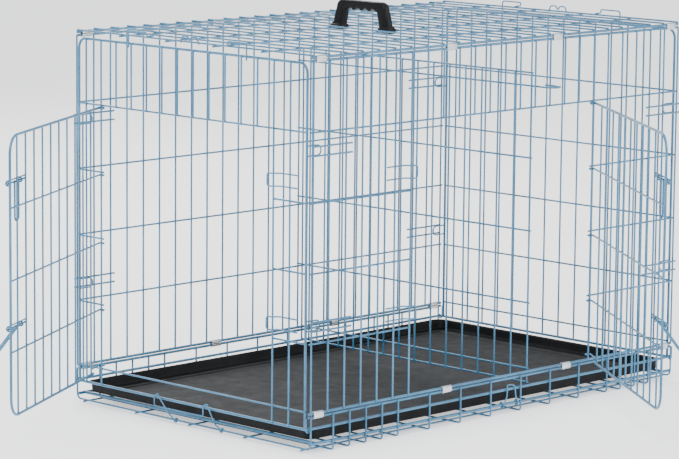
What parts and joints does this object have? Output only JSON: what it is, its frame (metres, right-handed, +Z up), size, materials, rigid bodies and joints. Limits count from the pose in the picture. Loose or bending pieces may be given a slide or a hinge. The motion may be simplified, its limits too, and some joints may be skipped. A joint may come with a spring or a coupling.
{
  "type": "wire dog crate",
  "caption": "Folding wire dog crate: welded grille sides, a hinged door in the front and one in the left end, sliding floor tray, cross divider and top handle",
  "frame": {"origin": "middle of the floor the base stands on, centred in the cage's length and width", "axes": "+X along the length to the closed end, +Y from the front to the rear, +Z up"},
  "size_m": [1.733, 1.2744, 0.9245],
  "materials": {
    "wire_paint": "satin powder coat on round steel wire",
    "clip_steel": "galvanised strip steel",
    "tray_plastic": "moulded, fine grain",
    "handle_plastic": "moulded, satin"
  },
  "bodies": {
    "crate": {"base_floor_grid": "wire_paint", "base_rear_upstand": "wire_paint", "base_front_upstand": "wire_paint", "base_tray_supports": "wire_paint", "base_pivot_eyes": "wire_paint", "front_header": "wire_paint", "front_left_grille": "wire_paint", "front_right_grille": "wire_paint", "front_sill": "wire_paint", "rear_panel": "wire_paint", "roof_panel": "wire_paint", "roof_hooks_left": "wire_paint", "roof_hooks_right": "wire_paint", "rear_receivers": "wire_paint", "front_receivers": "wire_paint", "front_keepers": "wire_paint", "carry_handle": "handle_plastic", "clips_top_front": "clip_steel", "clips_top_rear": "clip_steel", "clips_bottom_front": "clip_steel", "clips_bottom_rear": "clip_steel"},
    "left_end": {"left_end_header": "wire_paint", "left_end_front_strip": "wire_paint", "left_end_rear_strip": "wire_paint", "left_end_sill": "wire_paint", "left_end_loops": "wire_paint", "left_end_keepers": "wire_paint"},
    "right_end": {"right_end_panel": "wire_paint", "right_end_pivot": "wire_paint", "right_end_loops": "wire_paint"},
    "end_door_leaf": {"end_door": "wire_paint", "end_door_upper_guide": "wire_paint", "end_door_lower_guide": "wire_paint"},
    "front_door_leaf": {"front_door": "wire_paint", "front_door_upper_guide": "wire_paint", "front_door_lower_guide": "wire_paint"},
    "tray_pan": {"tray": "tray_plastic"},
    "tray_stop": {"tray_bail": "wire_paint"},
    "front_stop": {"front_bail": "wire_paint"},
    "divider": {"divider_panel": "wire_paint", "divider_hook": "wire_paint"},
    "end_door_upper_bolt_rod": {"end_door_upper_bolt": "wire_paint"},
    "end_door_lower_bolt_rod": {"end_door_lower_bolt": "wire_paint"},
    "front_door_upper_bolt_rod": {"front_door_upper_bolt": "wire_paint"},
    "front_door_lower_bolt_rod": {"front_door_lower_bolt": "wire_paint"}
  },
  "joints": [
    {"name": "left_end_fold", "type": "hinge", "parent": "crate", "child": "left_end", "pos_m": [-0.6139, 0, 0.054], "axis": [0, -1, 0], "range_deg": [-58, 0]},
    {"name": "right_end_fold", "type": "hinge", "parent": "crate", "child": "right_end", "pos_m": [0.6139, 0, 0.054], "axis": [0, 1, 0], "range_deg": [-36, 0]},
    {"name": "end_door_swing", "type": "hinge", "parent": "left_end", "child": "end_door_leaf", "pos_m": [-0.6178, 0.2884, 0.39], "axis": [0, 0, -1], "range_deg": [-61, 55]},
    {"name": "front_door_swing", "type": "hinge", "parent": "crate", "child": "front_door_leaf", "pos_m": [0.3048, -0.381, 0.39], "axis": [0, 0, 1], "range_deg": [-55, 60]},
    {"name": "tray_slide", "type": "slide", "parent": "crate", "child": "tray_pan", "axis": [1, 0, 0], "range_m": [0, 1]},
    {"name": "tray_bail_swing", "type": "hinge", "parent": "crate", "child": "tray_stop", "pos_m": [-0.6096, 0, 0.0099], "axis": [0, -1, 0], "range_deg": [0, 75]},
    {"name": "front_bail_swing", "type": "hinge", "parent": "crate", "child": "front_stop", "pos_m": [0.035, -0.3771, 0.0215], "axis": [1, 0, 0], "range_deg": [0, 80]},
    {"name": "divider_lift", "type": "slide", "parent": "crate", "child": "divider", "axis": [0, 0, 1], "range_m": [0, 0.02]},
    {"name": "end_door_upper_bolt_slide", "type": "slide", "parent": "end_door_leaf", "child": "end_door_upper_bolt_rod", "axis": [-0.8746, -0.4848, 0], "range_m": [0, 0.022]},
    {"name": "end_door_lower_bolt_slide", "type": "slide", "parent": "end_door_leaf", "child": "end_door_lower_bolt_rod", "axis": [-0.8746, -0.4848, 0], "range_m": [0, 0.022]},
    {"name": "front_door_upper_bolt_slide", "type": "slide", "parent": "front_door_leaf", "child": "front_door_upper_bolt_rod", "axis": [-0.5736, -0.8192, 0], "range_m": [0, 0.022]},
    {"name": "front_door_lower_bolt_slide", "type": "slide", "parent": "front_door_leaf", "child": "front_door_lower_bolt_rod", "axis": [-0.5736, -0.8192, 0], "range_m": [0, 0.022]}
  ]
}
